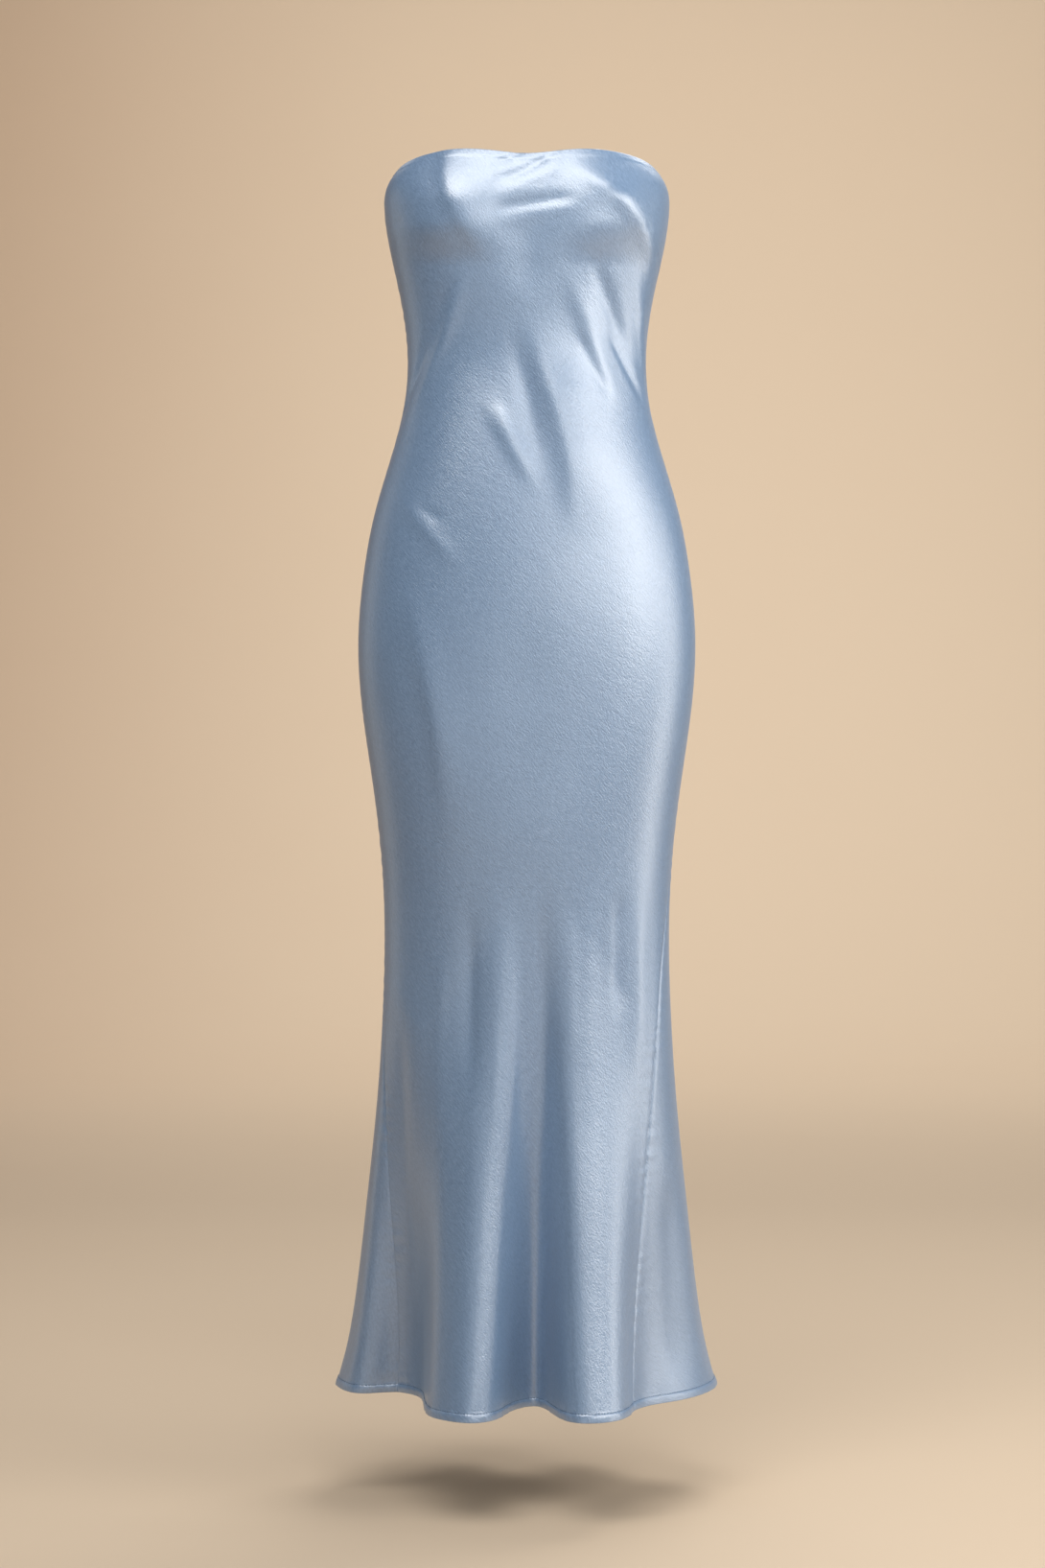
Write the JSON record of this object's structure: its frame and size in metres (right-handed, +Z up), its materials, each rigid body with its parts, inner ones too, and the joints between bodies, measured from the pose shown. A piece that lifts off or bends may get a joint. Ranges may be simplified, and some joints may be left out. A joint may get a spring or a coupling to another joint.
{
  "type": "strapless dress",
  "caption": "Long strapless dress in bias-cut satin, hollow and filled out as worn, fitted from bust to hip and fluted below the knee to an open hem, with a concealed back zip.",
  "frame": {"origin": "centre of the open top edge at the height of the side seams' tops, where the wearer's bust holds the dress up", "axes": "+Z up, against the way the dress hangs; the front faces -Y; +X is the wearer's left"},
  "size_m": [0.3993, 0.3642, 1.274],
  "materials": {
    "front_satin": "pale blue satin with a fine slanting slub",
    "back_right_satin": "pale blue satin with a fine slanting slub",
    "back_left_satin": "pale blue satin with a fine slanting slub",
    "zip_tape_cloth": "matt woven tape",
    "zip_slider_metal": "lacquered to match the cloth",
    "zip_pull_metal": "lacquered to match the cloth"
  },
  "bodies": {
    "dress": {"front_panel": "front_satin", "back_right_panel": "back_right_satin", "back_left_panel": "back_left_satin", "zip_tape_right": "zip_tape_cloth", "zip_tape_left": "zip_tape_cloth", "zip_slider": "zip_slider_metal"},
    "pull": {"zip_pull": "zip_pull_metal"}
  },
  "joints": [
    {"name": "pull_swing", "type": "hinge", "parent": "dress", "child": "pull", "pos_m": [0, 0.09606, -0.0166], "axis": [1, 0, 0], "range_deg": [0, 170]}
  ]
}
